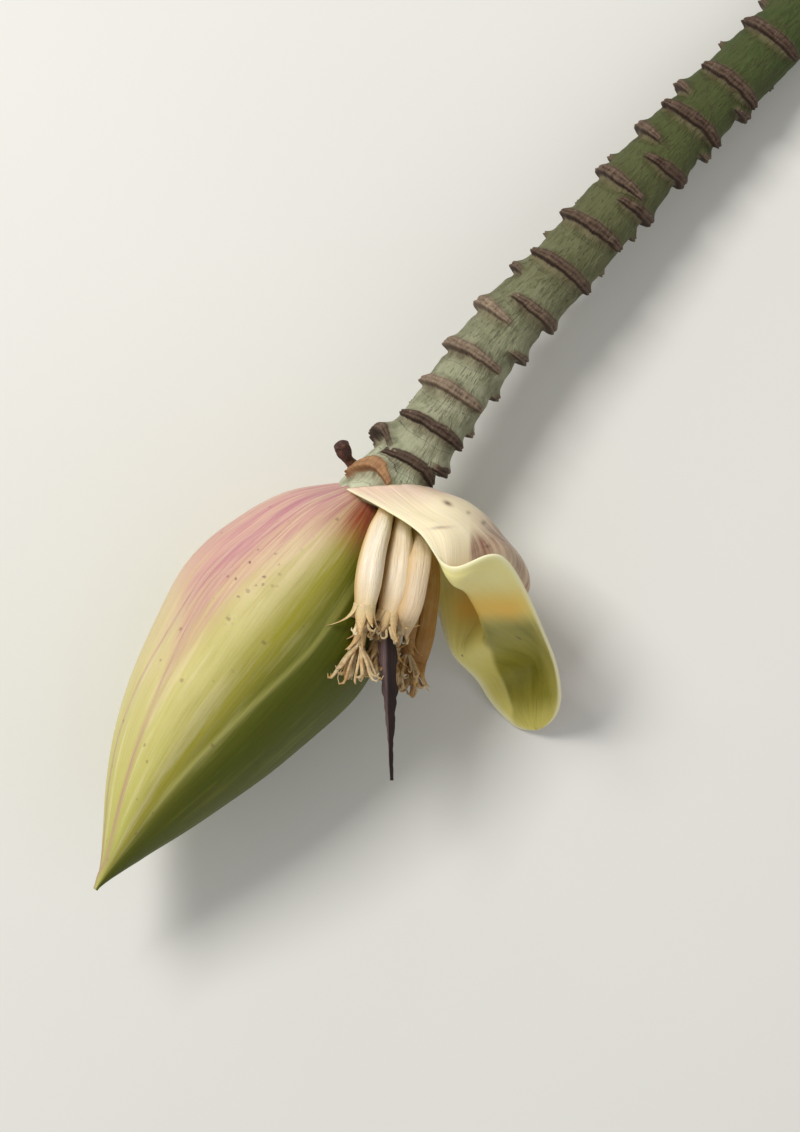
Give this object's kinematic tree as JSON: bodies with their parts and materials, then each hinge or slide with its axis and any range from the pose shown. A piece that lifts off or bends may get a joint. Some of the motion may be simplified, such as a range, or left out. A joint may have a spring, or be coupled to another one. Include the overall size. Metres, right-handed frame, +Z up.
{
  "type": "cut banana flower stalk",
  "caption": "Cut banana flower stalk lying down: ringed stalk, closed male bud of overlapping bracts, and one lifted bract over a hand of tubular flowers.",
  "frame": {"origin": "middle of the part's footprint, on the floor that it lies on", "axes": "+Z up; +Y towards the end that the stalk was cut at, along the longest side; +X to the right seen from above with +Y away"},
  "size_m": [0.2662, 0.3262, 0.0929],
  "materials": {
    "stalk_skin": "matt sage green, fibrous, with brown bract scars",
    "bud_bract": "smooth cream to olive, leathery, with a mauve flush",
    "lifted_bract": "smooth cream outside, bright yellow to olive inside",
    "cushion": "matt pale green",
    "flower_tube": "satin ivory, going to tan and brown at the mouth",
    "withered": "dry dark brown",
    "stub": "dry brown"
  },
  "bodies": {
    "root": {"flower_stalk": "stalk_skin", "bud_core": "bud_bract", "bud_bract_inner": "bud_bract", "bud_bract_outer": "bud_bract", "lifted_bract": "lifted_bract", "flower_cushion": "cushion", "flower_01": "flower_tube", "flower_02": "flower_tube", "flower_03": "flower_tube", "flower_04": "flower_tube", "flower_05": "flower_tube", "flower_06": "flower_tube", "flower_07": "flower_tube", "flower_08": "flower_tube", "withered_strip": "withered", "neck_stub": "stub"}
  },
  "joints": []
}
